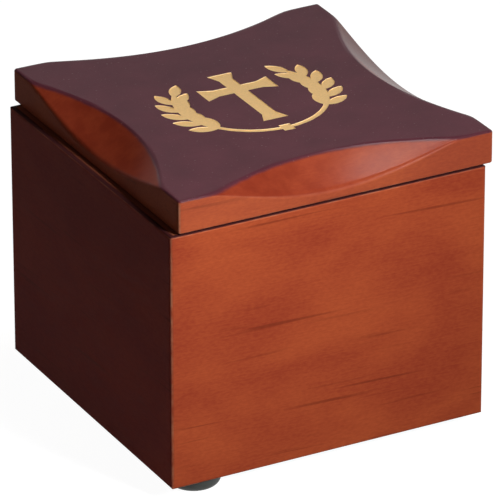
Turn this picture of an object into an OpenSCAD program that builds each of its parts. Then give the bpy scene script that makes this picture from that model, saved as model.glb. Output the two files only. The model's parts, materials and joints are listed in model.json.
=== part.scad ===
// Small square keepsake box of cherry-stained wood: four mitred boards on a flush bottom,
// a thick lid with four scooped edges on two brass butt hinges, and four rubber feet.
// Millimetres, front towards -Y, +Z up. The origin is the middle of the overall outline
// in plan, on the plane under the feet.

/* [Body] */
// Width of the body along the front
body_w = 76; // [72:0.5:120]
// Depth of the body from front to back
body_d = 76; // [72:0.5:120]
// Height of the boards
body_h = 59.2; // [40:0.1:90]
// Thickness of the boards
wall = 8; // [7.6:0.1:10]
// Radius of the four upright corners
corner_rad = 0.7; // [0.4:0.1:2]
// Radius of the long edges of the boards
board_edge_rad = 0.5; // [0.2:0.1:0.8]

/* [Bottom panel] */
// Thickness of the bottom panel
panel_t = 4; // [3:0.1:6]
// Width of the rebate that holds the bottom panel
rebate_w = 4; // [2:0.1:5]
// Gap round the bottom panel in its rebate
panel_clear = 0.15; // [0.05:0.05:0.4]

/* [Lining] */
// Thickness of the lining pad near its rim
lining_t = 2; // [1.5:0.1:4]
// Rise of the pad's middle above its rim
lining_crown = 0.8; // [0.2:0.1:2]
// Width of the pad's rounded rim
lining_rim = 1.8; // [1:0.1:3]
// Gap between the pad and the boards
lining_clear = 0.3; // [0.2:0.1:1]

/* [Lid] */
// Thickness of the lid
lid_t = 7.6; // [7:0.1:12]
// Height of the seam between the boards and the lid
seam = 0.3; // [0.2:0.1:0.6]
// How far the lid stands in from the left face of the body
lid_in_left = 2; // [0:0.1:3]
// How far the lid reaches past the right face of the body
lid_out_right = 1.6; // [0:0.1:3]
// How far the lid stands in from the front face of the body
lid_in_front = 0; // [0:0.1:2]
// How far the lid reaches past the back face of the body
lid_out_back = 1.8; // [1.7:0.1:2.5]
// Radius of the lid's upright corners
lid_corner_rad = 0.7; // [0.5:0.1:2]
// Radius of the lid's top and bottom edges
lid_edge_rad = 0.5; // [0.2:0.1:1]

/* [Scooped edges] */
// Distance from a corner of the lid to the end of a scoop
scoop_end = 8.5; // [5:0.5:12]
// How far a scoop reaches in over the top at its middle
scoop_in = 8; // [4:0.1:9]
// How far the back scoop reaches in over the top at its middle
back_scoop_in = 7; // [4:0.1:9]
// How far a scoop reaches down the side at its middle
scoop_down = 5.5; // [3:0.1:5.6]
// Hollow radius of a scoop, across the edge
scoop_rad = 18; // [14:0.5:28]

/* [Emblem] */
// Depth of the engraving for the gold filling
engrave_t = 0.4; // [0.2:0.05:0.8]
// How far the gold filling lies below the lid's top
fill_below = 0.15; // [0:0.05:0.15]
// Height of the cross
cross_h = 26; // [20:0.5:28]
// Width across the arms of the cross
cross_w = 17; // [12:0.5:18]
// Width of the bars of the cross
bar_w = 3.4; // [2:0.1:5]
// Width of the flared ends of the cross
flare_w = 6; // [5.2:0.1:7]
// Length of the flared ends of the cross
flare_len = 3.2; // [2:0.1:4]
// Radius of the ring on which the two ears of wheat bend
ear_rad = 16.5; // [15:0.1:18]
// Number of grain pairs on an ear
grain_pairs = 5; // [3:1:6]
// Length of a grain
grain_len = 6.4; // [5:0.1:7]
// Width of a grain
grain_w = 2.7; // [2:0.1:3]
// Lean of a grain away from its stalk
grain_lean = 30; // [25:1:35]
// Width of a stalk
stalk_w = 1.2; // [0.8:0.1:1.6]

/* [Feet] */
// Radius of a foot
foot_rad = 5.9; // [4:0.1:7]
// Height of a foot
foot_h = 3.4; // [2.4:0.1:6]
// Rounding of a foot's lower rim
foot_round = 1.6; // [0.5:0.1:2]
// Distance of the front left foot's centre from the left face
near_foot_in_x = 9; // [8:0.1:16]
// Distance of the front left foot's centre from the front face
near_foot_in_y = 7.4; // [7.2:0.1:16]
// Distance of the other feet's centres from the nearest faces
foot_in = 13.5; // [8:0.1:18]

/* [Hinges] */
// Length of a hinge along its pin
hinge_len = 16; // [12:0.5:16]
// Distance of each hinge's middle from the body's middle
hinge_off = 22; // [19:0.5:22]
// Width of a leaf from the pin's axis to its free edge
leaf_w = 7; // [6:0.1:7]
// Thickness of a leaf
leaf_t = 0.9; // [0.7:0.05:0.95]
// Outer radius of the knuckles
knuckle_rad = 1.35; // [1.25:0.05:1.4]
// Gap between neighbouring knuckles
knuckle_gap = 0.15; // [0.1:0.05:0.3]
// Radius of the pin
pin_rad = 0.6; // [0.5:0.05:0.7]
// Gap between the pin and the knuckles
pin_clear = 0.05; // [0.02:0.01:0.1]
// Distance of the pin's axis behind the back face
axis_behind = 0.3; // [0.2:0.05:0.3]
// Gap between the hinge and the wood round it
mortise_clear = 0.2; // [0.1:0.05:0.25]

/* [Screws] */
// Radius of a screw's head
screw_head_rad = 1.6; // [1.4:0.1:1.8]
// Radius of a screw's shank
screw_rad = 0.8; // [0.6:0.05:0.9]
// Length of a screw with its head
screw_len = 5; // [4:0.1:5.5]
// Distance between the two screws of a leaf
screw_pitch = 9; // [7:0.5:10]
// Distance of the screws from the pin's axis
screw_out = 4.3; // [4:0.1:4.6]
// Width of the slot in a screw's head
slot_w = 0.4; // [0.3:0.05:0.5]
// Depth of the slot in a screw's head
slot_t = 0.35; // [0.2:0.05:0.4]
// Gap between a screw and its hole
screw_clear = 0.05; // [0.03:0.01:0.1]

/* [Hidden] */
$fn = 48;
// Overrun of a cutting body past the face it cuts
cut = 1;

// Place of the body's front left lower corner
body_x = -(body_w + lid_out_right) / 2;
body_y = -(body_d + lid_out_back) / 2;
body_z = foot_h;
// Size and place of the lid
lid_w = body_w - lid_in_left + lid_out_right;
lid_d = body_d - lid_in_front + lid_out_back;
lid_x = body_x + lid_in_left;
lid_y = body_y + lid_in_front;
lid_z = body_z + body_h + seam;
// Pin axis of the hinges, in the middle of the seam
axis_y = body_y + body_d + axis_behind;
axis_z = lid_z - seam / 2;
hinge_mid_x = body_x + body_w / 2;
knuckle_len = (hinge_len - 2 * knuckle_gap) / 3;
// A countersunk head falls at 45 degrees from its rim to the shank
screw_head_t = screw_head_rad - screw_rad;

// Rectangle with eased corners, from true circles and straight sides
module eased_rectangle(w, h, rad) {
    translate([rad, 0]) square([w - 2 * rad, h]);
    translate([0, rad]) square([w, h - 2 * rad]);
    for (x = [rad, w - rad], y = [rad, h - rad])
        translate([x, y]) circle(r = rad);
}

// Bar along X whose cross-section is an eased rectangle: depth in Y, height in Z
module eased_bar(length, depth, height, rad) {
    rotate([90, 0, 90])
        linear_extrude(length) eased_rectangle(depth, height, rad);
}

// Board along the front of a plan w by d, cut to a mitre at both ends
module mitred_board(w, d) {
    mitre = [[0, 0], [w, 0], [w - wall, wall], [wall, wall]];
    difference() {
        intersection() {
            eased_bar(w, wall, body_h, board_edge_rad);
            linear_extrude(body_h) polygon(mitre);
            linear_extrude(body_h) eased_rectangle(w, d, corner_rad);
        }
        // Rebate for the bottom panel
        translate([wall - rebate_w, wall - rebate_w, -cut])
            cube([w - 2 * (wall - rebate_w), d - 2 * (wall - rebate_w), panel_t + cut]);
    }
}

module front_board() {
    color([0.66, 0.30, 0.17])
        translate([body_x, body_y, body_z]) mitred_board(body_w, body_d);
}

module back_board() {
    color([0.60, 0.26, 0.15])
        difference() {
            translate([body_x + body_w, body_y + body_d, body_z])
                rotate([0, 0, 180]) mitred_board(body_w, body_d);
            at_hinges() body_mortise();
        }
}

module left_board() {
    color([0.55, 0.23, 0.14])
        translate([body_x, body_y + body_d, body_z])
            rotate([0, 0, -90]) mitred_board(body_d, body_w);
}

module right_board() {
    color([0.62, 0.28, 0.16])
        translate([body_x + body_w, body_y, body_z])
            rotate([0, 0, 90]) mitred_board(body_d, body_w);
}

module bottom_panel() {
    inset = wall - rebate_w + panel_clear;
    color([0.58, 0.30, 0.18])
        translate([body_x + inset, body_y + inset, body_z])
            cube([body_w - 2 * inset, body_d - 2 * inset, panel_t]);
}

// Points of one ring of the pad, inset from its rounded outline, at height z
function ring_points(w, d, inset, rad, z, steps) =
    let (r = max(rad - inset, 0.1))
    [for (corner = [0:3], k = [0:steps])
        let (a = corner * 90 + k * 90 / steps)
        let (sx = corner == 0 || corner == 3 ? 1 : -1, sy = corner < 2 ? 1 : -1)
        [sx * (w / 2 - inset - r) + r * cos(a), sy * (d / 2 - inset - r) + r * sin(a), z]];

// Velvet-covered pad: drawn in at its foot, rounded rim, gently crowned top
module floor_lining() {
    w = body_w - 2 * (wall + lining_clear);
    d = body_d - 2 * (wall + lining_clear);
    pad_corner_rad = 3;
    drawn_in = 0.5;
    // Share of the pad's thickness at which its rim starts to turn in
    rim_low = 0.45;
    rim_steps = 5;
    crown_steps = 6;
    reach = min(w, d) / 2 - pad_corner_rad / 2;
    // Inset and height of every ring, from the underside over the rim to the middle
    foot = [[drawn_in, 0], [drawn_in / 4, 0.3 * lining_t]];
    rim = [for (k = [1:rim_steps])
        let (a = 90 * k / rim_steps)
        [lining_rim * (1 - cos(a)), lining_t * (rim_low + (1 - rim_low) * sin(a))]];
    crown = [for (k = [1:crown_steps])
        let (s = k / crown_steps)
        [lining_rim + (reach - lining_rim) * s, lining_t + lining_crown * sin(90 * s)]];
    rings = concat(foot, rim, crown);
    corner_steps = 5;
    n = 4 * (corner_steps + 1);
    last = len(rings) - 1;
    points = [for (ring = rings) each ring_points(w, d, ring[0], pad_corner_rad, ring[1], corner_steps)];
    sides = [for (k = [0:last - 1], i = [0:n - 1])
        let (j = (i + 1) % n)
        each [[k * n + i, (k + 1) * n + i, (k + 1) * n + j], [k * n + i, (k + 1) * n + j, k * n + j]]];
    underside = [for (i = [0:n - 1]) i];
    top = [for (i = [n - 1:-1:0]) last * n + i];
    color([0.42, 0.05, 0.09])
        translate([body_x + body_w / 2, body_y + body_d / 2, body_z + panel_t])
            polyhedron(points = points, faces = concat(sides, [underside, top]));
}

// Slab with all its edges eased
module eased_slab(w, d, h, edge, corner) {
    intersection() {
        linear_extrude(h) eased_rectangle(w, d, corner);
        eased_bar(w, d, h, edge);
        translate([w, 0, 0]) rotate([0, 0, 90]) eased_bar(d, w, h, edge);
    }
}

// Scoop along the front edge of a slab of this width, its top face at z = 0.
// A ring of round section lies level, its axis in front of the edge: it meets the top in
// one arc and the side in another, and both end at the same two points.
module edge_scoop(width, reach_in) {
    half = width / 2 - scoop_end;
    axis_out = (half * half - reach_in * reach_in) / (2 * reach_in);
    chord = norm([reach_in, scoop_down]);
    rise = sqrt(scoop_rad * scoop_rad - chord * chord / 4);
    ring_rad = axis_out + reach_in / 2 - rise * scoop_down / chord;
    ring_z = -scoop_down / 2 + rise * reach_in / chord;
    translate([width / 2, -axis_out, 0])
        rotate([0, 0, 90]) rotate_extrude($fn = 180)
            translate([ring_rad, ring_z]) circle(r = scoop_rad, $fn = 96);
}

// The four scoops of the lid, in the lid's own frame
module scoops() {
    translate([0, 0, lid_t]) {
        edge_scoop(lid_w, scoop_in);
        translate([lid_w, lid_d, 0]) rotate([0, 0, 180]) edge_scoop(lid_w, back_scoop_in);
        translate([lid_w, 0, 0]) rotate([0, 0, 90]) edge_scoop(lid_d, scoop_in);
        translate([0, lid_d, 0]) rotate([0, 0, -90]) edge_scoop(lid_d, scoop_in);
    }
}

module lid() {
    color([0.36, 0.23, 0.25])
        difference() {
            translate([lid_x, lid_y, lid_z])
                difference() {
                    eased_slab(lid_w, lid_d, lid_t, lid_edge_rad, lid_corner_rad);
                    scoops();
                }
            emblem(lid_z + lid_t - engrave_t, engrave_t + cut);
            at_hinges() lid_mortise();
        }
}

// Pointed grain of wheat with its root at the origin, growing towards +Y
module grain() {
    arc_rad = (grain_len * grain_len + grain_w * grain_w) / (4 * grain_w);
    intersection() {
        translate([arc_rad - grain_w / 2, grain_len / 2]) circle(r = arc_rad, $fn = 120);
        translate([grain_w / 2 - arc_rad, grain_len / 2]) circle(r = arc_rad, $fn = 120);
    }
}

// Ear of wheat on the right of the ring, from the knot at the bottom round to its tip
module wheat_ear(height) {
    // The stalk starts at the knot and its lowest grains sit at first
    start = -90;
    first = -38;
    // Grain pairs overlap: they follow each other at this share of their length
    spacing = 0.62;
    pitch = spacing * grain_len / ear_rad * 180 / PI;
    last = first + grain_pairs * pitch;
    rotate([0, 0, start])
        rotate_extrude(angle = last - start + 2, $fn = 120)
            translate([ear_rad - stalk_w / 2, 0]) square([stalk_w, height]);
    for (k = [0:grain_pairs - 1], side = [-1, 1])
        rotate([0, 0, first + k * pitch])
            translate([ear_rad + side * stalk_w / 3, 0, 0]) rotate([0, 0, -side * grain_lean])
                linear_extrude(height) grain();
    rotate([0, 0, last])
        translate([ear_rad, 0, 0]) linear_extrude(height) grain();
}

// Upright cross with flared ends, its centre of height at the origin
module cross(height) {
    arm_y = cross_h / 2 - cross_w / 2;
    linear_extrude(height) {
        translate([-bar_w / 2, -cross_h / 2]) square([bar_w, cross_h]);
        translate([-cross_w / 2, arm_y - bar_w / 2]) square([cross_w, bar_w]);
        translate([0, -cross_h / 2]) flare();
        translate([0, cross_h / 2]) rotate(180) flare();
        translate([-cross_w / 2, arm_y]) rotate(-90) flare();
        translate([cross_w / 2, arm_y]) rotate(90) flare();
    }
}

// Flared end of a bar that runs up from the origin
module flare() {
    polygon([[-flare_w / 2, 0], [flare_w / 2, 0], [bar_w / 2, flare_len], [-bar_w / 2, flare_len]]);
}

// Cross between two ears of wheat, in the middle of the lid, from z_low up
module emblem(z_low, height) {
    cross_rise = 1.5;
    knot_w = 2.6;
    knot_d = 3;
    translate([lid_x + lid_w / 2, lid_y + lid_d / 2, z_low]) {
        translate([0, cross_rise, 0]) cross(height);
        wheat_ear(height);
        mirror([1, 0, 0]) wheat_ear(height);
        // Knot where the stalks meet
        translate([0, -ear_rad, height / 2]) cube([knot_w, knot_d, height], center = true);
    }
}

module lid_emblem() {
    color([0.91, 0.72, 0.41])
        emblem(lid_z + lid_t - engrave_t, engrave_t - fill_below);
}

// Round foot with a rounded lower rim, standing on z = 0 at a place given from the body's corner
module foot(x, y) {
    color([0.20, 0.22, 0.20])
        translate([body_x + x, body_y + y, 0])
            rotate_extrude() {
                square([foot_rad - foot_round, foot_h]);
                translate([0, foot_round]) square([foot_rad, foot_h - foot_round]);
                translate([foot_rad - foot_round, foot_round]) circle(r = foot_round);
            }
}

module foot_front_left() {
    foot(near_foot_in_x, near_foot_in_y);
}

module foot_front_right() {
    foot(body_w - foot_in, foot_in);
}

module foot_back_left() {
    foot(foot_in, body_d - foot_in);
}

module foot_back_right() {
    foot(body_w - foot_in, body_d - foot_in);
}

// Places its children at one hinge: side -1 is the left one, 1 the right one.
// There the pin's axis is X and a leaf lies towards -Y.
module at_hinge(side) {
    translate([hinge_mid_x + side * hinge_off, axis_y, axis_z]) children();
}

module at_hinges() {
    for (side = [-1, 1])
        at_hinge(side) children();
}

// Cylinder along X, centred on the pin's axis
module along_pin(length, rad) {
    rotate([0, 90, 0]) cylinder(h = length, r = rad, center = true);
}

// Body leaf as it lies under the seam, carrying the two outer knuckles.
// With middle = true it is the lid leaf's outline instead, carrying the middle knuckle.
module leaf(middle) {
    neck_y = -knuckle_rad - mortise_clear;
    room = middle ? hinge_len : knuckle_len + 2 * knuckle_gap;
    room_x = middle ? (knuckle_len + room) / 2 : 0;
    room_d = knuckle_rad + cut - neck_y;
    difference() {
        union() {
            along_pin(hinge_len, knuckle_rad);
            translate([-hinge_len / 2, -leaf_w, -seam / 2 - leaf_t])
                cube([hinge_len, leaf_w - knuckle_rad / 3, leaf_t]);
        }
        // Room for the other leaf's knuckles
        for (x = middle ? [-room_x, room_x] : [room_x])
            translate([x, neck_y + room_d / 2, 0])
                cube([room, room_d, 2 * (knuckle_rad + cut)], center = true);
        along_pin(hinge_len + 2 * cut, pin_rad + pin_clear);
        at_screws() screw_hole();
    }
}

// Places its children at the two screws of a leaf, heads level with the leaf's face
module at_screws() {
    for (side = [-1, 1])
        translate([side * screw_pitch / 2, -screw_out, -seam / 2]) children();
}

// Countersunk screw pointing down, its head's face at z = 0
module screw() {
    tip = screw_rad;
    difference() {
        rotate_extrude($fn = 32)
            polygon([[0, 0], [screw_head_rad, 0], [screw_rad, -screw_head_t],
                     [screw_rad, tip - screw_len], [0, -screw_len]]);
        translate([-screw_head_rad - cut, -slot_w / 2, -slot_t])
            cube([2 * (screw_head_rad + cut), slot_w, slot_t + cut]);
    }
}

// Room for a screw: its countersink and its shank
module screw_hole() {
    head = screw_head_rad + screw_clear;
    shank = screw_rad + screw_clear;
    rotate_extrude($fn = 32)
        polygon([[0, cut], [head, cut], [head, 0], [shank, -screw_head_t],
                 [shank, -screw_len - screw_clear], [0, -screw_len - screw_clear]]);
}

// Room for a leaf and the knuckles in the wood under the seam
module body_mortise() {
    mortise_len = hinge_len + 2 * mortise_clear;
    along_pin(mortise_len, knuckle_rad + mortise_clear);
    translate([-mortise_len / 2, -leaf_w - mortise_clear, -seam / 2 - leaf_t])
        cube([mortise_len, leaf_w + mortise_clear, leaf_t + seam]);
    at_screws() screw_hole();
}

module lid_mortise() {
    mirror([0, 0, 1]) body_mortise();
}

module hinge_pin(side) {
    color([0.80, 0.66, 0.36])
        at_hinge(side) along_pin(hinge_len, pin_rad);
}

module body_leaf(side) {
    color([0.85, 0.70, 0.40])
        at_hinge(side) leaf(false);
}

module lid_leaf(side) {
    color([0.85, 0.70, 0.40])
        at_hinge(side) mirror([0, 0, 1]) leaf(true);
}

module hinge_body_screws() {
    color([0.78, 0.64, 0.34])
        at_hinges() at_screws() screw();
}

module hinge_lid_screws() {
    color([0.78, 0.64, 0.34])
        at_hinges() mirror([0, 0, 1]) at_screws() screw();
}

front_board();
back_board();
left_board();
right_board();
bottom_panel();
floor_lining();
lid();
lid_emblem();
foot_front_left();
foot_front_right();
foot_back_left();
foot_back_right();
body_leaf(-1);  // left_hinge_body_leaf
lid_leaf(-1);  // left_hinge_lid_leaf
hinge_pin(-1);  // left_hinge_pin
body_leaf(1);  // right_hinge_body_leaf
lid_leaf(1);  // right_hinge_lid_leaf
hinge_pin(1);  // right_hinge_pin
hinge_body_screws();
hinge_lid_screws();
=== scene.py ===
"""Dresses the packed keepsake box: a hand-sanded lid, a velvet pad and every finish."""
import json
import math

import bmesh
import bpy
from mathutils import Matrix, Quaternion, Vector, noise


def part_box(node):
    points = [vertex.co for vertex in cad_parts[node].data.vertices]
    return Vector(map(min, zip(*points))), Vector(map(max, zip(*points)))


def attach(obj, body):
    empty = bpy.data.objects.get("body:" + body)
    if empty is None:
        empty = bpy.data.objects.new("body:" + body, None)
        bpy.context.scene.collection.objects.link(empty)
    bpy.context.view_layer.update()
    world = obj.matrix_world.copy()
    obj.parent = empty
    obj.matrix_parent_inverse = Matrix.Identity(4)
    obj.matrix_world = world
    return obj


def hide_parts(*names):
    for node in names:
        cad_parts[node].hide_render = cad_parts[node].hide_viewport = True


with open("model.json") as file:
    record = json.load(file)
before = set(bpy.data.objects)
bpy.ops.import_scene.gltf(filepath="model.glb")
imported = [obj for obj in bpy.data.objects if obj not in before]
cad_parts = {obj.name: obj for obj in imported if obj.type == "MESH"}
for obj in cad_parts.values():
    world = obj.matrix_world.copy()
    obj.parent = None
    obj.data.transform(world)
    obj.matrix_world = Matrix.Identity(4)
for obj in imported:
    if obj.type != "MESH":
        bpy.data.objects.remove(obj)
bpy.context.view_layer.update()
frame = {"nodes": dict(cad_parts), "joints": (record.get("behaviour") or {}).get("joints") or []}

bl_info = {
    "name": "Keepsake box",
    "version": (1, 0, 0),
    "blender": (4, 5, 0),
    "location": "3D View > Sidebar > Keepsake box",
    "description": "Finishes a small stained wooden box with a scooped, hinged lid",
    "category": "Object",
}

MM = 0.001
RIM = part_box("front_board")[1].z
BODY_LOW, BODY_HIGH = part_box("front_board")[0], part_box("back_board")[1]
BODY_CENTRE = (BODY_LOW + BODY_HIGH) / 2
BODY_HALF = (BODY_HIGH.x - BODY_LOW.x) / 2
LID_LOW, LID_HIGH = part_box("lid")
PAD_LOW, PAD_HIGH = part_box("floor_lining")
HINGE_AXIS = Vector(frame["joints"][0]["pos_m"])
# The photograph's camera, fitted to the box's corners. Lens and sensor are in millimetres
CAMERA_PLACE = Vector((-0.55875, -1.04595, 0.60432))
CAMERA_TURN = math.radians(28.145)
CAMERA_TILT = math.radians(25.659)
CAMERA_ROLL = math.radians(-0.082)
CAMERA_LENS = 435.15
CAMERA_SENSOR = 36
# Where each lamp hangs, what it is turned towards, and its width and height
SOFT_BOXES = {
    "front": ((0.05, -0.26, 0.18), (-0.15, -0.18, 0.13), (0.05, 0.1)),
    "top": ((0.1, -0.05, 0.5), (0, 0, 0.06), (0.14, 0.12)),
    "left": ((-0.45, -0.05, 0.3), (0, 0, 0.05), (0.3, 0.2)),
    "back": ((0, 0.6, 0.07), (0, 0, 0.03), (0.2, 0.1)),
}
# Half the width of the paper floor, far beyond what the camera sees
FLOOR_HALF = 4
# Where the wood's pattern starts, chosen so that its clouds fall as on the real front
GRAIN_START = (-0.199, 0.071, -0.065)
# How far a cutter stands out of the lid, so that it opens the skin
CUT_BEYOND = 1 * MM
GOLD_NAME = "Gold paint, dried in the engraving"
WHITE = (1, 1, 1, 1)


def linear(hex_colour):
    """Linear red, green and blue of an sRGB hex colour."""
    shares = [int(hex_colour[i:i + 2], 16) / 255 for i in (1, 3, 5)]
    return tuple(c / 12.92 if c <= 0.04045 else ((c + 0.055) / 1.055) ** 2.4 for c in shares)


def colour(name, hex_colour, description):
    """Property for a colour, given in sRGB hex."""
    return bpy.props.FloatVectorProperty(
        name=name, description=description, subtype="COLOR", size=3, min=0, max=1,
        default=linear(hex_colour))


def length(name, millimetres, description):
    """Property for a length, given in millimetres."""
    return bpy.props.FloatProperty(
        name=name, description=description, subtype="DISTANCE", unit="LENGTH", min=0,
        precision=5, default=millimetres * MM)


class WoodSettings(bpy.types.PropertyGroup):
    """Stain and lacquer of the boards and the lid"""

    light_stain: colour("Light stain", "#C05B35", "Red-brown stain where it lies thin")
    deep_stain: colour("Deep stain", "#993B28", "Red-brown stain where it lies thick")
    # The side stains are red stain with a painted violet sheen mixed in, which shifts them
    # towards purple
    side_light_stain_and_sheen: colour("Side light stain", "#B34838", "Thin stain on the side boards")
    side_deep_stain_and_sheen: colour("Side deep stain", "#8F2E29", "Thick stain on the side boards")
    streak: colour("Streak", "#6B2A1C", "Dark pore lines along the grain")
    scoop_stain: colour("Scoop stain", "#84301D", "Red stain drunk in by a scoop's cut fibres")
    # Pale arris colour: partly wood rubbed through, partly a painted highlight on rounded edges
    worn_and_highlit: colour("Worn arris", "#DB9A78", "Wood showing where an arris was rubbed through")
    # Painted light on the rim's inner part, where the lid shades it
    rim_painted_light: colour("Rim wood", "#B97552", "Pale wood of the rim where the lid covers it")
    # Painted shade on the rim's outer millimetre, and the dark stain that the right scoop kept
    rim_shade_and_dark_stain: colour("Rim stain", "#4C2426", "Dark stain on the rim under the lid")
    top_stain: colour("Top stain", "#5A2C36", "Dark stain wiped over the lid's top")
    dust: colour("Dust", "#BCB3AF", "Specks of dust caught in the lacquer of the top")
    fibre_width: length("Fibre width", 0.24, "Distance between two fibre lines")
    streak_width: length("Streak spacing", 1.5, "Distance between two dark streaks")
    gloss: bpy.props.FloatProperty(
        name="Lacquer roughness", description="Roughness of the satin lacquer",
        subtype="FACTOR", min=0, max=1, default=0.42)


class LidSettings(bpy.types.PropertyGroup):
    """Shape of the lid's scooped edges"""

    scoop_end: length("Scoop end", 8.5, "Distance from a corner of the lid to a scoop's end")
    scoop_in: length("Scoop reach", 8, "How far a scoop reaches in over the top")
    back_scoop_in: length("Back scoop reach", 7, "How far the back scoop reaches in")
    scoop_down: length("Scoop fall", 5.2, "How far a scoop falls at the side")
    run_out: length("Run-out", 1.5, "How softly a scoop's end runs out to the corner")
    arris: length("Arris", 0.22, "How deep the arris between a scoop and the top is rubbed")
    corner: length("Corner radius", 0.7, "Radius of the upright corners")
    edge: length("Edge radius", 0.45, "Radius of the edges at the corners and underneath")
    scoop_edge: length("Scoop edge radius", 0.9, "Radius where a scoop meets the side")
    hollow: bpy.props.FloatProperty(
        name="Hollow", description="How hollow a scoop is across, as a share of its fall",
        subtype="FACTOR", min=0, max=0.2, default=0.05)
    mortise_gap: length("Mortise gap", 0.2, "Gap round a hinge leaf let into the underside")


class PaintSettings(bpy.types.PropertyGroup):
    """Gold filling of the lid's engraving"""

    gold: colour("Gold", "#F6C376", "Dried gold paint")
    # Painted highlight on the wall of the engraving
    rim: colour("Rim", "#FFEBC0", "Paint drawn thin and pale at the rim")


class PadSettings(bpy.types.PropertyGroup):
    """Velvet-covered pad on the bottom of the box"""

    velvet: colour("Velvet", "#6B0F1E", "Velvet seen into the pile")
    pile_tip: colour("Pile tip", "#C05A6E", "Light caught on the tips of the pile")
    rim: length("Rim", 1.7, "Radius of the pad's rounded rim")
    waist: length("Waist", 0.25, "How far the sides pull in between the corners")
    gather: length("Gather", 0.07, "Depth of the small gathers along the rim")


class FittingSettings(bpy.types.PropertyGroup):
    """Hinges, screws and feet"""

    brass: colour("Brass", "#DDB768", "Plated brass of hinges and screws")
    rubber: colour("Rubber", "#262925", "Moulded rubber of the feet")


class StageSettings(bpy.types.PropertyGroup):
    """Paper floor and soft studio light"""

    paper: colour("Paper", "#FAFAF9", "Paper under the box, as it is seen")
    bounce: colour("Bounce", "#595959", "Dull paper, as the box sees it from above")
    front_power: bpy.props.FloatProperty(
        name="Front soft box", description="Power of the soft box in front", unit="POWER",
        min=0, default=1.08)
    top_power: bpy.props.FloatProperty(
        name="Top soft box", description="Power of the soft box straight above",
        unit="POWER", min=0, default=0.85)
    left_power: bpy.props.FloatProperty(
        name="Left soft box", description="Power of the weak soft box on the left",
        unit="POWER", min=0, default=0.045)
    back_power: bpy.props.FloatProperty(
        name="Back soft box", description="Power of the low soft box behind",
        unit="POWER", min=0, default=1.2)
    room: bpy.props.FloatProperty(
        name="Room", description="Brightness of the room on all sides", min=0, default=0.016)


def add_node(tree, kind, inputs=None, **settings):
    """Adds a node, sets its properties, and sets or links its inputs.

    A Mix node's input 0 is the share. It mixes numbers 2 and 3 into output 0, or colours
    6 and 7 into output 2.
    """
    node = tree.nodes.new(kind)
    for name, value in settings.items():
        setattr(node, name, value)
    for socket, value in (inputs or {}).items():
        if isinstance(value, bpy.types.NodeSocket):
            tree.links.new(value, node.inputs[socket])
        else:
            node.inputs[socket].default_value = value
    return node


def new_material(name):
    """Empty material, its tree, and where a point lies in the row's frame."""
    material = bpy.data.materials.new(name)
    material.use_nodes = True
    tree = material.node_tree
    tree.nodes.clear()
    return material, tree, add_node(tree, "ShaderNodeTexCoord").outputs["Object"]


def finish_surface(tree, inputs):
    """Ends a tree in one Principled surface."""
    surface = add_node(tree, "ShaderNodeBsdfPrincipled", inputs)
    add_node(tree, "ShaderNodeOutputMaterial", {"Surface": surface.outputs["BSDF"]})


def opaque(value):
    """A colour with full alpha, for a colour socket."""
    return (*value, 1)


def stained_wood(tree, place, wood, along_y):
    """Colour and fibre relief of stained wood whose grain runs along X, or along Y.

    Each scale is a real size in metres: along the grain, across it, and into the board.
    """
    tilt = math.radians(1.4)
    turn = (tilt, 0, math.radians(-90)) if along_y else (0, -tilt, 0)
    grain = add_node(tree, "ShaderNodeMapping", {
        "Vector": place, "Location": GRAIN_START, "Rotation": turn})
    grain = grain.outputs["Vector"]

    def layer(sizes, low, high, **settings):
        """Noise of these sizes, spread from 0 at low to 1 at high."""
        spread = add_node(tree, "ShaderNodeMapping", {
            "Vector": grain, "Scale": [1 / size for size in sizes]})
        pattern = add_node(tree, "ShaderNodeTexNoise", {
            "Vector": spread.outputs["Vector"], "Scale": 1, **settings})
        ramp = add_node(tree, "ShaderNodeMapRange", {
            "Value": pattern.outputs["Fac"], "From Min": low, "From Max": high},
            interpolation_type="SMOOTHSTEP")
        return ramp.outputs["Result"]

    # Clouds of 15 to 26 mm, where the stain soaked in unevenly
    clouds = layer((26 * MM, 15 * MM, 15 * MM), 0.3, 0.7, Detail=2, Distortion=0.3)
    # Flecks of half a millimetre, drawn out along the grain
    flecks = layer((1.1 * MM, 0.5 * MM, 0.5 * MM), 0.25, 0.75, Detail=2)
    # Fibres. The real ones are finer, and are drawn as coarse as they need to show
    width = wood.fibre_width
    fibres = layer((5 * MM, width, width), 0.25, 0.75, Detail=2)
    # Pore lines 20 to 40 mm long, in loose groups
    width = wood.streak_width
    pores = layer((38 * MM, 2.6 * width, 0.7 * width), 0.6, 0.72, Detail=1, Distortion=0.3)
    groups = layer((30 * MM, 12 * MM, 12 * MM), 0.44, 0.6, Detail=1)
    # Clouds make up half of the mottle, flecks a quarter and fibres a sixth
    mottle = 0.05
    for pattern, part in ((clouds, 0.48), (flecks, 0.27), (fibres, 0.17)):
        mottle = add_node(tree, "ShaderNodeMath", {0: pattern, 1: part, 2: mottle},
                          operation="MULTIPLY_ADD").outputs[0]
    thick, thin = wood.deep_stain, wood.light_stain
    # The side boards' colours hold a painted violet sheen besides the stain
    if along_y:
        thick, thin = wood.side_deep_stain_and_sheen, wood.side_light_stain_and_sheen
    stain = add_node(tree, "ShaderNodeMix", {0: mottle, 6: opaque(thick), 7: opaque(thin)},
                     data_type="RGBA")
    # Even in the middle of a pore line, about half of the stain's colour stays
    share = add_node(tree, "ShaderNodeMath", {0: pores, 1: groups}, operation="MULTIPLY")
    share = add_node(tree, "ShaderNodeMath", {0: share.outputs[0], 1: 0.48},
                     operation="MULTIPLY")
    stain = add_node(tree, "ShaderNodeMix", {
        0: share.outputs[0], 6: stain.outputs[2], 7: opaque(wood.streak)}, data_type="RGBA")
    return stain.outputs[2], fibres


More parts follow.
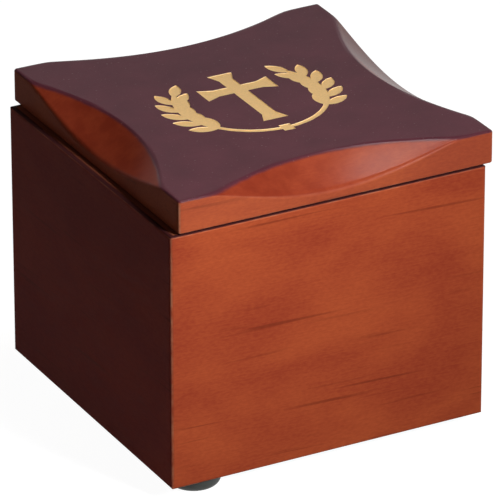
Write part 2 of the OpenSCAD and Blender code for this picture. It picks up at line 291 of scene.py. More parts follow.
def rubbed_and_highlit_edges(tree, place, stain, wood, everywhere=0):
    """The stain, paler in patches along rounded edges: partly where an edge was rubbed through,
    and partly a painted highlight where a lit edge would shine.

    Everywhere is how much it was rubbed on the flat faces too.
    """
    facing = add_node(tree, "ShaderNodeTexCoord").outputs["Normal"]
    facing = add_node(tree, "ShaderNodeVectorMath", {0: facing}, operation="ABSOLUTE")
    facing = add_node(tree, "ShaderNodeSeparateXYZ", {"Vector": facing.outputs[0]}).outputs
    most = facing["X"]
    for axis in ("Y", "Z"):
        most = add_node(tree, "ShaderNodeMath", {0: most, 1: facing[axis]},
                        operation="MAXIMUM").outputs[0]
    # 0 on a face square to the box, 1 on the middle of a rounded edge
    edge = add_node(tree, "ShaderNodeMapRange", {
        "Value": most, "From Min": 0.99, "From Max": 0.8})
    # Patches of 2.5 mm, where the rubbing went deeper and the painted highlight is brighter
    patches = add_node(tree, "ShaderNodeTexNoise", {
        "Vector": place, "Scale": 1 / (2.5 * MM), "Detail": 2})
    patches = add_node(tree, "ShaderNodeMapRange", {
        "Value": patches.outputs["Fac"], "From Min": 0.35, "From Max": 0.65,
        "To Min": 0.1, "To Max": 0.5})
    share = add_node(tree, "ShaderNodeMath", {
        0: edge.outputs["Result"], 1: patches.outputs["Result"], 2: everywhere},
        operation="MULTIPLY_ADD")
    paler = add_node(tree, "ShaderNodeMix", {
        0: share.outputs[0], 6: stain, 7: opaque(wood.worn_and_highlit)}, data_type="RGBA")
    return paler.outputs[2]


def lacquered_board(name, wood, along_y):
    """Alder stained cherry red, under thin sprayed satin lacquer.

    To the eye it is a warm red-brown with soft clouds and faint fibres. The lacquer follows
    the grain, so its sheen is broad and dull.
    """
    material, tree, place = new_material(name)
    stain, fibres = stained_wood(tree, place, wood, along_y)
    height = add_node(tree, "ShaderNodeSeparateXYZ", {"Vector": place}).outputs["Z"]
    if along_y:
        # Painted shade: the side boards are darker towards the rim and lighter towards the
        # bottom, copying how light falls on the shaded side
        painted_shade_by_height = add_node(tree, "ShaderNodeMapRange", {
            "Value": height, "From Min": 5 * MM, "From Max": 55 * MM, "To Min": 1.12,
            "To Max": 0.86})
        stain = add_node(tree, "ShaderNodeVectorMath", {
            0: stain, "Scale": painted_shade_by_height.outputs["Result"]}, operation="SCALE").outputs["Vector"]
    stain = rubbed_and_highlit_edges(tree, place, stain, wood)
    # The body is square, so the greater distance from its middle tells how far out a
    # point of the rim lies
    offset = add_node(tree, "ShaderNodeVectorMath", {0: place, 1: BODY_CENTRE},
                      operation="SUBTRACT")
    offset = add_node(tree, "ShaderNodeVectorMath", {0: offset.outputs[0]},
                      operation="ABSOLUTE")
    offset = add_node(tree, "ShaderNodeSeparateXYZ", {"Vector": offset.outputs[0]}).outputs
    outward = add_node(tree, "ShaderNodeMath", {0: offset["X"], 1: offset["Y"]},
                       operation="MAXIMUM")
    # Painted shade and light on the rim: its outer millimetre is darkened, and the rest, in the
    # lid's shade, is lightened towards pale wood
    outer_rim_shade = add_node(tree, "ShaderNodeMapRange", {
        "Value": outward.outputs[0], "From Min": BODY_HALF - 1.1 * MM,
        "From Max": BODY_HALF - 0.7 * MM})
    inner_rim_light = add_node(tree, "ShaderNodeMix", {0: 0.5, 6: stain, 7: opaque(wood.rim_painted_light)},
                    data_type="RGBA")
    rim_light_and_shade = add_node(tree, "ShaderNodeMix", {
        0: outer_rim_shade.outputs["Result"], 6: inner_rim_light.outputs[2], 7: opaque(wood.rim_shade_and_dark_stain)},
        data_type="RGBA")
    on_rim = add_node(tree, "ShaderNodeMapRange", {
        "Value": height, "From Min": RIM - 0.3 * MM, "From Max": RIM - 0.1 * MM})
    stain = add_node(tree, "ShaderNodeMix", {
        0: on_rim.outputs["Result"], 6: stain, 7: rim_light_and_shade.outputs[2]},
        data_type="RGBA").outputs[2]
    rough = add_node(tree, "ShaderNodeMapRange", {
        "Value": fibres, "To Min": wood.gloss - 0.05, "To Max": wood.gloss + 0.06})
    bump = add_node(tree, "ShaderNodeBump", {
        "Height": fibres, "Strength": 0.3, "Distance": 0.03 * MM})
    finish_surface(tree, {
        "Base Color": stain, "Roughness": rough.outputs["Result"], "IOR": 1.5,
        "Specular IOR Level": 0.008, "Normal": bump.outputs["Normal"]})
    return material


def stained_lid(wood):
    """The same wood with a dark stain wiped over its flat top, satin lacquered.

    To the eye the top is a dull purple-brown. The dark stain ends where the edges were
    sanded back, so the scoops and the sides show the red wood.
    """
    material, tree, place = new_material("Stained alder, dark top, satin lacquer")
    stain, fibres = stained_wood(tree, place, wood, False)
    position = add_node(tree, "ShaderNodeSeparateXYZ", {"Vector": place}).outputs
    # Depth below the top, made uneven over 3 mm as a sanded edge is
    wander = add_node(tree, "ShaderNodeTexNoise", {
        "Vector": place, "Scale": 1 / (3 * MM), "Detail": 2})
    level = add_node(tree, "ShaderNodeMath", {
        0: wander.outputs["Fac"], 1: 0.3 * MM, 2: LID_HIGH.z - 0.15 * MM},
        operation="MULTIPLY_ADD")
    depth = add_node(tree, "ShaderNodeMath", {0: level.outputs[0], 1: position["Z"]},
                     operation="SUBTRACT")
    sanded = add_node(tree, "ShaderNodeMapRange", {
        "Value": depth.outputs[0], "From Min": 0.1 * MM, "From Max": 0.6 * MM},
        interpolation_type="SMOOTHSTEP")
    # The dark stain is nearly even: faint clouds of 12 mm and a few specks of dust
    clouds = add_node(tree, "ShaderNodeTexNoise", {
        "Vector": place, "Scale": 1 / (12 * MM), "Detail": 4, "Roughness": 0.6})
    shade = add_node(tree, "ShaderNodeMapRange", {
        "Value": clouds.outputs["Fac"], "From Min": 0.3, "From Max": 0.7,
        "To Min": 0.88, "To Max": 1.12})
    dark = add_node(tree, "ShaderNodeVectorMath", {
        0: wood.top_stain, "Scale": shade.outputs["Result"]}, operation="SCALE")
    specks = add_node(tree, "ShaderNodeTexNoise", {
        "Vector": place, "Scale": 1 / (0.5 * MM), "Detail": 0})
    specks = add_node(tree, "ShaderNodeMapRange", {
        "Value": specks.outputs["Fac"], "From Min": 0.76, "From Max": 0.86, "To Max": 0.15})
    dark = add_node(tree, "ShaderNodeMix", {
        0: specks.outputs["Result"], 6: dark.outputs["Vector"], 7: opaque(wood.dust)},
        data_type="RGBA")
    # 0 on the lid's upright sides, 1 on a scoop and on the top
    facing = add_node(tree, "ShaderNodeTexCoord").outputs["Normal"]
    facing = add_node(tree, "ShaderNodeSeparateXYZ", {"Vector": facing}).outputs["Z"]
    upward = add_node(tree, "ShaderNodeMapRange", {
        "Value": facing, "From Min": 0.15, "From Max": 0.55}).outputs["Result"]
    # A scoop is cut across the fibres, which drink more stain there, in blotches of 4 mm.
    # Towards the left the scoops darken further, which is painted shade
    painted_shade_ramp = add_node(tree, "ShaderNodeMapRange", {
        "Value": position["X"], "From Min": -14 * MM, "From Max": 6 * MM, "To Max": 0.52})
    blotches = add_node(tree, "ShaderNodeTexNoise", {
        "Vector": place, "Scale": 1 / (4 * MM), "Detail": 3, "Roughness": 0.6})
    blotches = add_node(tree, "ShaderNodeMapRange", {
        "Value": blotches.outputs["Fac"], "From Min": 0.35, "From Max": 0.65,
        "To Max": 0.25})
    thin = add_node(tree, "ShaderNodeMath", {
        0: painted_shade_ramp.outputs["Result"], 1: blotches.outputs["Result"]}, operation="ADD")
    scoop_colour = add_node(tree, "ShaderNodeMix", {
        0: thin.outputs[0], 6: opaque(wood.scoop_stain), 7: stain}, data_type="RGBA")
    # The right scoop was sanded least and kept much of the dark stain under more lacquer
    kept = add_node(tree, "ShaderNodeMapRange", {
        "Value": position["X"], "From Min": 30 * MM, "From Max": 33 * MM, "To Max": 0.8})
    scoop_colour = add_node(tree, "ShaderNodeMix", {
        0: kept.outputs["Result"], 6: scoop_colour.outputs[2], 7: opaque(wood.rim_shade_and_dark_stain)},
        data_type="RGBA")
    red = add_node(tree, "ShaderNodeMix", {
        0: upward, 6: rubbed_and_highlit_edges(tree, place, stain, wood, 0.06),
        7: scoop_colour.outputs[2]}, data_type="RGBA")
    skin = add_node(tree, "ShaderNodeMix", {
        0: sanded.outputs["Result"], 6: dark.outputs[2], 7: red.outputs[2]},
        data_type="RGBA")
    rough = add_node(tree, "ShaderNodeMapRange", {
        "Value": fibres, "To Min": wood.gloss - 0.04, "To Max": wood.gloss + 0.05})
    bump = add_node(tree, "ShaderNodeBump", {
        "Height": fibres, "Strength": 0.2, "Distance": 0.03 * MM})
    # The sprayed lacquer settled on what faces up. It sank into the left scoop and stayed
    # thick on the right one, and lies between the two on the top
    scoop_coat = add_node(tree, "ShaderNodeMapRange", {
        "Value": position["X"], "From Min": -29 * MM, "From Max": -24 * MM, "To Max": 0.18})
    scoop_coat = add_node(tree, "ShaderNodeMath", {
        0: kept.outputs["Result"], 1: 0.5, 2: scoop_coat.outputs["Result"]},
        operation="MULTIPLY_ADD")
    coat = add_node(tree, "ShaderNodeMix", {
        0: sanded.outputs["Result"], 2: 0.27, 3: scoop_coat.outputs[0]})
    coat = add_node(tree, "ShaderNodeMath", {0: upward, 1: coat.outputs[0]},
                    operation="MULTIPLY")
    finish_surface(tree, {
        "Base Color": skin.outputs[2], "Roughness": rough.outputs["Result"], "IOR": 1.5,
        "Specular IOR Level": 0.01, "Normal": bump.outputs["Normal"],
        "Coat Weight": coat.outputs[0], "Coat Roughness": 0.25, "Coat IOR": 1.5})
    return material


def gold_paint(paint):
    """Bronze-powder paint, brushed into the engraving and left to dry.

    To the eye it is an even dull yellow, slightly gritty. It is paler at the rim, a painted
    highlight on the engraving's wall, where light catches it.
    """
    material, tree, place = new_material(GOLD_NAME)
    height = add_node(tree, "ShaderNodeSeparateXYZ", {"Vector": place}).outputs["Z"]
    # Painted highlight: the wall of the engraving near the top is paler
    rim = add_node(tree, "ShaderNodeMapRange", {
        "Value": height, "From Min": LID_HIGH.z - 0.16 * MM,
        "From Max": LID_HIGH.z - 0.1 * MM})
    grit = add_node(tree, "ShaderNodeTexNoise", {
        "Vector": place, "Scale": 1 / (0.3 * MM), "Detail": 2})
    shade = add_node(tree, "ShaderNodeMapRange", {
        "Value": grit.outputs["Fac"], "From Min": 0.3, "From Max": 0.7,
        "To Min": 0.9, "To Max": 1.06})
    body = add_node(tree, "ShaderNodeVectorMath", {
        0: paint.gold, "Scale": shade.outputs["Result"]}, operation="SCALE")
    both = add_node(tree, "ShaderNodeMix", {
        0: rim.outputs["Result"], 6: body.outputs["Vector"], 7: opaque(paint.rim)},
        data_type="RGBA")
    bump = add_node(tree, "ShaderNodeBump", {
        "Height": grit.outputs["Fac"], "Strength": 0.4, "Distance": 0.03 * MM})
    finish_surface(tree, {
        "Base Color": both.outputs[2], "Roughness": 0.5,
        "Normal": bump.outputs["Normal"]})
    return material


def pile_velvet(pad):
    """Short-pile velvet, glued over wadding.

    To the eye it is deep red seen straight on and paler at a slant, where the tips of the
    pile catch the light. It has soft patches where the pile lies another way.
    """
    material, tree, place = new_material("Velvet, short pile")
    lie = add_node(tree, "ShaderNodeTexNoise", {
        "Vector": place, "Scale": 1 / (9 * MM), "Detail": 3, "Distortion": 0.8})
    lie = add_node(tree, "ShaderNodeMapRange", {
        "Value": lie.outputs["Fac"], "From Min": 0.35, "From Max": 0.65,
        "To Min": 0.7, "To Max": 1.25})
    # Tufts of pile, about three to a millimetre
    tufts = add_node(tree, "ShaderNodeTexVoronoi", {
        "Vector": place, "Scale": 1 / (0.35 * MM)})
    shade = add_node(tree, "ShaderNodeMapRange", {
        "Value": tufts.outputs["Distance"], "From Max": 0.8, "To Min": 1.1, "To Max": 0.65})
    shade = add_node(tree, "ShaderNodeMath", {
        0: lie.outputs["Result"], 1: shade.outputs["Result"]}, operation="MULTIPLY")
    body = add_node(tree, "ShaderNodeVectorMath", {
        0: pad.velvet, "Scale": shade.outputs[0]}, operation="SCALE")
    bump = add_node(tree, "ShaderNodeBump", {
        "Height": tufts.outputs["Distance"], "Strength": 0.5, "Distance": 0.12 * MM},
        invert=True)
    finish_surface(tree, {
        "Base Color": body.outputs["Vector"], "Roughness": 0.9, "Specular IOR Level": 0.2,
        "Normal": bump.outputs["Normal"], "Sheen Weight": 0.7, "Sheen Roughness": 0.4,
        "Sheen Tint": opaque(pad.pile_tip)})
    return material


def plated_brass(fittings):
    """Stamped steel with bright brass plate.

    To the eye it is a clear yellow metal, with hairlines from stamping and tumbling, and a
    little dulled in patches.
    """
    material, tree, place = new_material("Brass plate, stamped and tumbled")
    hair = add_node(tree, "ShaderNodeMapping", {
        "Vector": place, "Scale": (1 / (3 * MM), 1 / (0.12 * MM), 1 / (0.12 * MM))})
    hair = add_node(tree, "ShaderNodeTexNoise", {
        "Vector": hair.outputs["Vector"], "Scale": 1, "Detail": 2})
    dull = add_node(tree, "ShaderNodeTexNoise", {
        "Vector": place, "Scale": 1 / (2.5 * MM), "Detail": 3})
    rough = add_node(tree, "ShaderNodeMapRange", {
        "Value": dull.outputs["Fac"], "From Min": 0.35, "From Max": 0.7,
        "To Min": 0.27, "To Max": 0.38})
    shade = add_node(tree, "ShaderNodeMapRange", {
        "Value": dull.outputs["Fac"], "From Min": 0.3, "From Max": 0.75,
        "To Min": 1, "To Max": 0.85})
    plate = add_node(tree, "ShaderNodeVectorMath", {
        0: fittings.brass, "Scale": shade.outputs["Result"]}, operation="SCALE")
    bump = add_node(tree, "ShaderNodeBump", {
        "Height": hair.outputs["Fac"], "Strength": 0.06, "Distance": 0.02 * MM})
    finish_surface(tree, {
        "Base Color": plate.outputs["Vector"], "Metallic": 1,
        "Roughness": rough.outputs["Result"], "Normal": bump.outputs["Normal"]})
    return material


def moulded_rubber(fittings):
    """Moulded rubber bumper.

    To the eye it is a dull grey-green black with a soft sheen on the round of its rim, a
    fine pebbled skin and a trace of dust.
    """
    material, tree, place = new_material("Rubber, moulded")
    skin = add_node(tree, "ShaderNodeTexNoise", {
        "Vector": place, "Scale": 1 / (0.4 * MM), "Detail": 2})
    dust = add_node(tree, "ShaderNodeTexNoise", {
        "Vector": place, "Scale": 1 / (2 * MM), "Detail": 4, "Roughness": 0.7})
    shade = add_node(tree, "ShaderNodeMapRange", {
        "Value": dust.outputs["Fac"], "From Min": 0.3, "From Max": 0.75,
        "To Min": 0.85, "To Max": 1.35})
    body = add_node(tree, "ShaderNodeVectorMath", {
        0: fittings.rubber, "Scale": shade.outputs["Result"]}, operation="SCALE")
    bump = add_node(tree, "ShaderNodeBump", {
        "Height": skin.outputs["Fac"], "Strength": 0.3, "Distance": 0.05 * MM})
    finish_surface(tree, {
        "Base Color": body.outputs["Vector"], "Roughness": 0.5, "IOR": 1.52,
        "Normal": bump.outputs["Normal"]})
    return material


def dress(names, material):
    """Puts a material in every slot of these CAD nodes."""
    for name in names:
        node = frame["nodes"][name]
        for slot in node.material_slots:
            slot.material = material
        if not node.material_slots:
            node.data.materials.append(material)


def mesh_object(name, points, faces, material):
    """New object in the scene from points and faces."""
    mesh = bpy.data.meshes.new(name)
    mesh.from_pydata(points, [], faces)
    mesh.materials.append(material)
    for face in mesh.polygons:
        face.use_smooth = len(face.vertices) == 4
    piece = bpy.data.objects.new(name, mesh)
    bpy.context.scene.collection.objects.link(piece)
    return piece


def skin_object(name, profiles, material):
    """Closed smooth piece through profiles, each a list of points from top to bottom."""
    count = len(profiles)
    rows = len(profiles[0])
    points = [point for profile in profiles for point in profile]
    faces = [tuple(i * rows for i in range(count)),
             tuple(i * rows + rows - 1 for i in reversed(range(count)))]
    for i in range(count):
        this = i * rows
        following = (i + 1) % count * rows
        for k in range(rows - 1):
            faces.append((this + k, this + k + 1, following + k + 1, following + k))
    return mesh_object(name, points, faces, material)


def cut(piece, cutter):
    """Cuts the cutter out of the piece, and removes the cutter."""
    modifier = piece.modifiers.new("Cut", "BOOLEAN")
    modifier.operation = "DIFFERENCE"
    modifier.solver = "EXACT"
    modifier.material_mode = "TRANSFER"
    modifier.object = cutter
    before = len(piece.data.vertices)
    graph = bpy.context.evaluated_depsgraph_get()
    piece.data = bpy.data.meshes.new_from_object(piece.evaluated_get(graph))
    piece.modifiers.clear()
    if len(piece.data.vertices) == before:
        raise RuntimeError(f"{cutter.name} didn't cut {piece.name}")
    bpy.data.objects.remove(cutter)


def shade_slab(mesh):
    """Smooth curved faces with sharp edges between them, and flat caps."""
    stray = mesh.attributes.get("custom_normal")
    if stray:
        mesh.attributes.remove(stray)
    mesh.set_sharp_from_angle(angle=math.radians(35))
    for face in mesh.polygons:
        face.use_smooth = len(face.vertices) <= 4


class LidForm:
    """The lid as a maker's rule: how deep its scoops are, and where its skin lies."""

    side_steps = 110
    corner_steps = 6
    # Rows of points down a station, over the arris, the scoop, its lower edge and the
    # edge underneath
    arris_rows = 10
    scoop_rows = 12
    edge_rows = 8
    under_rows = 6
    # A corner keeps this radius however far in the skin lies
    least_radius = 0.3 * MM

    def __init__(self, lid):
        size = LID_HIGH - LID_LOW
        self.lid = lid
        self.centre = (LID_LOW + LID_HIGH) / 2
        # Front, right, back and left
        self.halves = (size.x / 2, size.y / 2, size.x / 2, size.y / 2)
        self.reaches = (lid.scoop_in, lid.scoop_in, lid.back_scoop_in, lid.scoop_in)

    def stations(self):
        """Stations round the outline: side, share along it, and turn at its corner."""
        for side in range(4):
            for i in range(self.side_steps + 1):
                yield side, 2 * i / self.side_steps - 1, 0
            for i in range(1, self.corner_steps):
                yield side, 1, math.pi / 2 * i / self.corner_steps

    def place(self, station, inset):
        """Distance along the side, x and y of a point this far in from a station."""
        side, share, turn = station
        radius = max(self.lid.corner - inset, self.least_radius)
        straight = self.halves[side] - inset - radius
        along = share * straight + radius * math.sin(turn)
        across = self.halves[side - 1] - inset - radius * (1 - math.cos(turn))
        x, y = ((along, -across), (across, along), (-along, across), (-across, -along))[side]
        return along, self.centre.x + x, self.centre.y + y

    def scoop(self, side, along):
        """How far the scoop reaches in, and falls at the side, this far from its middle."""
        share = abs(along) / (self.halves[side] - self.lid.scoop_end)
        arc = self.reaches[side] * (1 - share * share)
        swing = self.lid.scoop_down * math.cos(math.pi / 2 * share)
        reach = (arc + math.hypot(arc, self.lid.run_out)) / 2
        fall = (swing + math.hypot(swing, self.lid.run_out / 3)) / 2
        return reach, fall

    def depth(self, station, inset):
        """Depth of the skin below the top, this far in from a station."""
        along = self.place(station, inset)[0]
        reach, fall = self.scoop(station[0], along)
        share = inset / reach
        hollow = 4 * self.lid.hollow
        if share < 1:
            depth = fall * (1 - share) * (1 + hollow * share)
        else:
            depth = fall * (1 - share) * (1 + hollow)
        arris = self.lid.arris
        if abs(depth) < arris:
            return (depth + arris) ** 2 / (4 * arris)
        return max(depth, 0)

    def profile(self, station):
        """Points of the skin at a station, from the top over the edge to the underside."""
        along = self.place(station, 0)[0]
        reach, fall = self.scoop(station[0], along)
        lid = self.lid
        radius = lid.edge + (lid.scoop_edge - lid.edge) * min(fall / lid.scoop_down, 1)
        # Close rows run between these two, over the arris and clear of the rounded edge
        near = max(reach - 0.6 * MM, radius + 0.3 * MM)
        far = max(reach + 0.7 * MM, radius + 1.0 * MM)
        # Rows beside the caps and along the side, so that the edges don't shade the flats
        top_row, under_row, side_row = 0.8 * MM, 0.6 * MM, 0.15 * MM
        insets = [far + top_row]
        insets += [far + (near - far) * i / self.arris_rows
                   for i in range(self.arris_rows + 1)]
        insets += [near + (radius - near) * i / self.scoop_rows
                   for i in range(1, self.scoop_rows + 1)]
        skin = [(inset, LID_HIGH.z - self.depth(station, inset)) for inset in insets]
        for i in range(1, self.edge_rows + 1):
            angle = math.pi / 2 * i / self.edge_rows
            inset = radius * (1 - math.sin(angle))
            drop = self.depth(station, inset) + radius * (1 - math.cos(angle))
            skin.append((inset, LID_HIGH.z - drop))
        skin.append((0, skin[-1][1] - side_row))
        skin.append((0, LID_LOW.z + lid.edge + side_row))
        for i in range(self.under_rows + 1):
            angle = math.pi / 2 * i / self.under_rows
            skin.append((lid.edge * (1 - math.cos(angle)),
                         LID_LOW.z + lid.edge * (1 - math.sin(angle))))
        skin.append((lid.edge + under_row, LID_LOW.z))
        return [(*self.place(station, inset)[1:], z) for inset, z in skin]


def engraving_cutter(material):
    """The gold filling's outline, raised so that it cuts down from above the lid."""
    low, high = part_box("lid_emblem")
    work = bmesh.new()
    work.from_mesh(frame["nodes"]["lid_emblem"].data)
    bmesh.ops.remove_doubles(work, verts=work.verts, dist=0.001 * MM)
    for vertex in work.verts:
        if vertex.co.z > (low.z + high.z) / 2:
            vertex.co.z = LID_HIGH.z + CUT_BEYOND
    mesh = bpy.data.meshes.new("engraving")
    work.to_mesh(mesh)
    work.free()
    mesh.materials.clear()
    mesh.materials.append(material)
    cutter = bpy.data.objects.new("engraving", mesh)
    bpy.context.scene.collection.objects.link(cutter)
    return cutter


def mortise_cutter(leaf, lid, material):
    """Room for a hinge leaf and its knuckles in the lid's underside."""
    low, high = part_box(leaf)
    knuckle = (high.y - HINGE_AXIS.y) + lid.mortise_gap
    below = LID_LOW.z - CUT_BEYOND
    outline = [(low.y - lid.mortise_gap, below), (low.y - lid.mortise_gap, high.z)]
    start = math.asin((high.z - HINGE_AXIS.z) / knuckle)
    steps = 18
    for i in range(steps + 1):
        angle = math.pi - start - (math.pi - start) * i / steps
        outline.append((HINGE_AXIS.y + knuckle * math.cos(angle),
                        HINGE_AXIS.z + knuckle * math.sin(angle)))
    outline.append((HINGE_AXIS.y + knuckle, below))
    ends = (low.x - lid.mortise_gap, high.x + lid.mortise_gap)
    profiles = [[(x, y, z) for x in ends] for y, z in outline]
    return skin_object("mortise", profiles, material)


def pad_profile(pad, turn):
    """Points of the pad from its middle, over its rim and under, at a share of a turn."""
    centre = (PAD_LOW + PAD_HIGH) / 2
    half_x = (PAD_HIGH.x - PAD_LOW.x) / 2
    half_y = (PAD_HIGH.y - PAD_LOW.y) / 2
    angle = 2 * math.pi * turn
    heading = Vector((math.cos(angle), math.sin(angle)))
    # Distance from the middle to the side. The power squares the plan up to round corners
    power = 14
    share = (abs(heading.x / half_x) ** power + abs(heading.y / half_y) ** power)
    rim_distance = share ** (-1 / power)
    waist = pad.waist * abs(math.cos(2 * angle)) ** 3
    # The gathers follow noise round a circle, whose radius sets how many there are
    circle = 9
    gathers = pad.gather * noise.noise(
        Vector((circle * math.cos(angle), circle * math.sin(angle), 3)))
    outside = rim_distance - waist - abs(gathers)
    base = PAD_LOW.z
    # The crown is pressed level in the middle, and ripples of 7 mm run over it
    crown_height = PAD_HIGH.z - PAD_LOW.z - pad.rim
    level_share = 0.93
    ripple_height, ripple_length = 0.05 * MM, 7 * MM
    points = []
    rows = 26
    for i in range(1, rows + 1):
        distance = (outside - pad.rim) * i / rows
        x, y = heading * distance
        crown = (1 - (x / half_x) ** 2) * (1 - (y / half_y) ** 2)
        ripple = ripple_height * noise.noise(Vector((x, y, 0)) / ripple_length)
        lift = (base + pad.rim + crown_height * min(crown, level_share)
                + ripple * (1 - i / rows))
        points.append((centre.x + x, centre.y + y, lift))
    # The rim rounds down to a low upright side, whose foot is drawn in
    top = points[-1][2] - base
    upright_share, drawn_in = 0.15, 0.3 * MM
    rim_rows = 10
    for i in range(1, rim_rows + 1):
        swing = math.pi / 2 * i / rim_rows
        x, y = heading * (outside - pad.rim + pad.rim * math.sin(swing))
        lift = base + top * math.cos(swing) * (1 - upright_share) + top * upright_share
        points.append((centre.x + x, centre.y + y, lift))
    x, y = heading * (outside - drawn_in)
    points.append((centre.x + x, centre.y + y, base))
    return points


def shown_or_mirrored(tree):
    """1 for a ray from the camera, a mirror-like surface or glass, and 0 for other rays."""
    path = add_node(tree, "ShaderNodeLightPath").outputs
    either = add_node(tree, "ShaderNodeMath", {
        0: path["Is Camera Ray"], 1: path["Is Glossy Ray"]}, operation="MAXIMUM")
    either = add_node(tree, "ShaderNodeMath", {
        0: either.outputs[0], 1: path["Is Transmission Ray"]}, operation="MAXIMUM")
    return either.outputs[0]


def lay_paper(stage):
    """White paper floor: looks white, keeps the box's shadow, throws little light back."""
    material, tree, place = new_material("Paper, matt")
    # Fibres of about a millimetre, so faint that they only break up the white
    fibre = add_node(tree, "ShaderNodeTexNoise", {"Vector": place, "Scale": 1 / (1 * MM)})
    fibre = add_node(tree, "ShaderNodeMapRange", {
        "Value": fibre.outputs["Fac"], "To Min": 0.99, "To Max": 1.01})
    sheet = add_node(tree, "ShaderNodeVectorMath", {
        0: stage.paper, "Scale": fibre.outputs["Result"]}, operation="SCALE")
    lit = add_node(tree, "ShaderNodeBsdfDiffuse", {"Color": sheet.outputs["Vector"]})
    # Four fifths of what is seen glows by itself, and one fifth is lit and shaded
    glow = add_node(tree, "ShaderNodeEmission", {"Color": WHITE, "Strength": 1.2})
    bright = add_node(tree, "ShaderNodeMixShader", {
        0: 0.8, 1: lit.outputs[0], 2: glow.outputs[0]})
    dull = add_node(tree, "ShaderNodeBsdfDiffuse", {"Color": opaque(stage.bounce)})
    both = add_node(tree, "ShaderNodeMixShader", {
        0: shown_or_mirrored(tree), 1: dull.outputs[0], 2: bright.outputs[0]})
    add_node(tree, "ShaderNodeOutputMaterial", {"Surface": both.outputs[0]})
    half = FLOOR_HALF
    corners = [(-half, -half, 0), (half, -half, 0), (half, half, 0), (-half, half, 0)]
    mesh_object("paper_floor", corners, [(0, 1, 2, 3)], material)


def hang_soft_box(name, place, target, size, power):
    """Rectangular area lamp at a place, turned towards a target."""
    lamp = bpy.data.lights.new(name, "AREA")
    lamp.shape = "RECTANGLE"
    lamp.size, lamp.size_y = size
    lamp.energy = power
    holder = bpy.data.objects.new(name, lamp)
    holder.location = place
    towards = Vector(target) - Vector(place)
    holder.rotation_mode = "QUATERNION"
    holder.rotation_quaternion = towards.to_track_quat("-Z", "Y")
    bpy.context.scene.collection.objects.link(holder)


def light_room(scene, stage):
    """Even dim room, which looks white and is mirrored white low down on the right."""
    world = bpy.data.worlds.new("soft_room")
    world.use_nodes = True
    tree = world.node_tree
    tree.nodes.clear()
    heading = add_node(tree, "ShaderNodeTexCoord").outputs["Generated"]
    heading = add_node(tree, "ShaderNodeSeparateXYZ", {"Vector": heading}).outputs
    # White up to 21 degrees above the floor, and dim from 30 degrees on
    wall = add_node(tree, "ShaderNodeMapRange", {
        "Value": heading["Z"], "From Min": 0.36, "From Max": 0.5, "To Min": 1,
        "To Max": 0.08}, interpolation_type="SMOOTHSTEP")
    # Lit on the right of the box, and dimmer towards the left
    right = add_node(tree, "ShaderNodeMapRange", {
        "Value": heading["X"], "From Min": 0.05, "From Max": 0.35, "To Min": 0.08},
        interpolation_type="SMOOTHSTEP")
    wall = add_node(tree, "ShaderNodeMath", {
        0: wall.outputs["Result"], 1: right.outputs["Result"]}, operation="MULTIPLY")
    camera = add_node(tree, "ShaderNodeLightPath").outputs["Is Camera Ray"]
    seen = add_node(tree, "ShaderNodeMath", {0: wall.outputs[0], 1: camera},
                    operation="MAXIMUM")
    dim = add_node(tree, "ShaderNodeBackground", {"Color": WHITE, "Strength": stage.room})
    white = add_node(tree, "ShaderNodeBackground", {
        "Color": WHITE, "Strength": seen.outputs[0]})
    both = add_node(tree, "ShaderNodeMixShader", {
        0: shown_or_mirrored(tree), 1: dim.outputs[0], 2: white.outputs[0]})
    add_node(tree, "ShaderNodeOutputWorld", {"Surface": both.outputs[0]})
    scene.world = world


def set_camera(scene):
    """Long lens at the photograph's angle."""
    lens = bpy.data.cameras.new("camera")
    lens.lens = CAMERA_LENS
    lens.sensor_width = CAMERA_SENSOR
    camera = bpy.data.objects.new("camera", lens)
    flat = math.cos(CAMERA_TILT)
    sight = Vector((math.sin(CAMERA_TURN) * flat, math.cos(CAMERA_TURN) * flat,
                    -math.sin(CAMERA_TILT)))
    camera.location = CAMERA_PLACE
    camera.rotation_mode = "QUATERNION"
    camera.rotation_quaternion = (
        sight.to_track_quat("-Z", "Y") @ Quaternion((0, 0, 1), CAMERA_ROLL))
    scene.collection.objects.link(camera)
    scene.camera = camera


class KEEPSAKE_OT_boards(bpy.types.Operator):
    """Stain and lacquer the four boards and the bottom"""

    bl_idname = "keepsake.boards"
    bl_label = "Boards and bottom"

    def execute(self, context):
        wood = context.scene.keepsake_wood
        dress(["front_board", "back_board"],
              lacquered_board("Stained alder, grain along X, satin lacquer", wood, False))
        dress(["left_board", "right_board", "bottom_panel"],
              lacquered_board("Stained alder, grain along Y, satin lacquer", wood, True))
        return {"FINISHED"}


class KEEPSAKE_OT_lid(bpy.types.Operator):
    """Make the lid with its scooped, sanded edges, its engraving and its hinge mortises"""

    bl_idname = "keepsake.lid"
    bl_label = "Lid"

    def execute(self, context):
        lid = context.scene.keepsake_lid
        wood = stained_lid(context.scene.keepsake_wood)
        form = LidForm(lid)
        profiles = [form.profile(station) for station in form.stations()]
        slab = skin_object("sanded_lid", profiles, wood)
        cut(slab, engraving_cutter(gold_paint(context.scene.keepsake_paint)))
        for leaf in ("left_hinge_lid_leaf", "right_hinge_lid_leaf"):
            cut(slab, mortise_cutter(leaf, lid, wood))
        shade_slab(slab.data)
        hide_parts("lid")
        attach(slab, "lid")
        return {"FINISHED"}


class KEEPSAKE_OT_filling(bpy.types.Operator):
    """Paint the engraving's filling"""

    bl_idname = "keepsake.filling"
    bl_label = "Gold filling"

    def execute(self, context):
        paint = bpy.data.materials.get(GOLD_NAME)
        if paint is None:
            raise RuntimeError("make the lid first")
        dress(["lid_emblem"], paint)
        return {"FINISHED"}


class KEEPSAKE_OT_pad(bpy.types.Operator):
    """Make the velvet-covered pad on the bottom"""

    bl_idname = "keepsake.pad"
    bl_label = "Velvet pad"

    def execute(self, context):
        pad = context.scene.keepsake_pad
        steps = 288
        profiles = [pad_profile(pad, i / steps) for i in range(steps)]
        cushion = skin_object("velvet_pad", profiles, pile_velvet(pad))
        cushion.data.shade_smooth()
        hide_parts("floor_lining")
        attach(cushion, "box")
        return {"FINISHED"}


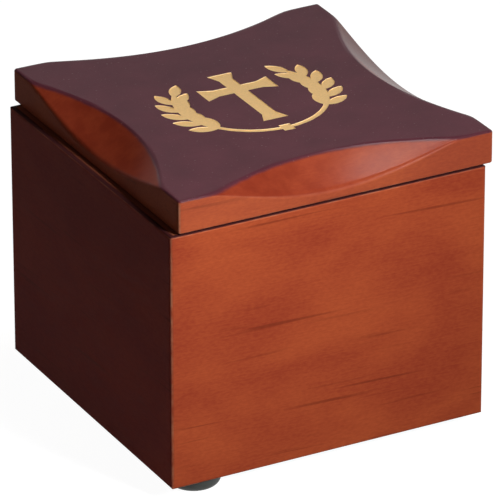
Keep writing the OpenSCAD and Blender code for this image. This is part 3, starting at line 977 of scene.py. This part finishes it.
class KEEPSAKE_OT_fittings(bpy.types.Operator):
    """Finish the hinges, their screws and the feet"""

    bl_idname = "keepsake.fittings"
    bl_label = "Hinges, screws and feet"

    def execute(self, context):
        fittings = context.scene.keepsake_fittings
        names = sorted(frame["nodes"])
        dress([name for name in names if "hinge" in name], plated_brass(fittings))
        dress([name for name in names if name.startswith("foot_")], moulded_rubber(fittings))
        return {"FINISHED"}


class KEEPSAKE_OT_stage(bpy.types.Operator):
    """Lay the paper floor, light it softly and set the camera"""

    bl_idname = "keepsake.stage"
    bl_label = "Floor, light and camera"

    def execute(self, context):
        stage = context.scene.keepsake_stage
        lay_paper(stage)
        for side, (place, target, size) in SOFT_BOXES.items():
            power = getattr(stage, f"{side}_power")
            hang_soft_box(f"{side}_soft_box", place, target, size, power)
        light_room(context.scene, stage)
        set_camera(context.scene)
        context.scene.view_settings.view_transform = "Standard"
        return {"FINISHED"}


OPERATORS = (
    KEEPSAKE_OT_boards, KEEPSAKE_OT_lid, KEEPSAKE_OT_filling, KEEPSAKE_OT_pad,
    KEEPSAKE_OT_fittings, KEEPSAKE_OT_stage)
SETTINGS = {
    "keepsake_wood": WoodSettings,
    "keepsake_lid": LidSettings,
    "keepsake_paint": PaintSettings,
    "keepsake_pad": PadSettings,
    "keepsake_fittings": FittingSettings,
    "keepsake_stage": StageSettings,
}


class KEEPSAKE_PT_panel(bpy.types.Panel):
    """Sizes and colours of the box, and a button for each piece"""

    bl_idname = "KEEPSAKE_PT_panel"
    bl_label = "Keepsake box"
    bl_space_type = "VIEW_3D"
    bl_region_type = "UI"
    bl_category = "Keepsake box"

    def draw(self, context):
        for name, group in SETTINGS.items():
            box = self.layout.box()
            box.label(text=group.__doc__)
            for setting in group.__annotations__:
                box.prop(getattr(context.scene, name), setting)
        for operator in OPERATORS:
            self.layout.operator(operator.bl_idname)


def register():
    for group in SETTINGS.values():
        bpy.utils.register_class(group)
    for operator in OPERATORS:
        bpy.utils.register_class(operator)
    bpy.utils.register_class(KEEPSAKE_PT_panel)
    for name, group in SETTINGS.items():
        setattr(bpy.types.Scene, name, bpy.props.PointerProperty(type=group))


def unregister():
    for name in SETTINGS:
        delattr(bpy.types.Scene, name)
    bpy.utils.unregister_class(KEEPSAKE_PT_panel)
    for operator in OPERATORS:
        bpy.utils.unregister_class(operator)
    for group in SETTINGS.values():
        bpy.utils.unregister_class(group)


def main():
    register()
    bpy.ops.keepsake.boards()
    bpy.ops.keepsake.lid()
    bpy.ops.keepsake.filling()
    bpy.ops.keepsake.pad()
    bpy.ops.keepsake.fittings()
    bpy.ops.keepsake.stage()


if __name__ == "__main__":
    main()
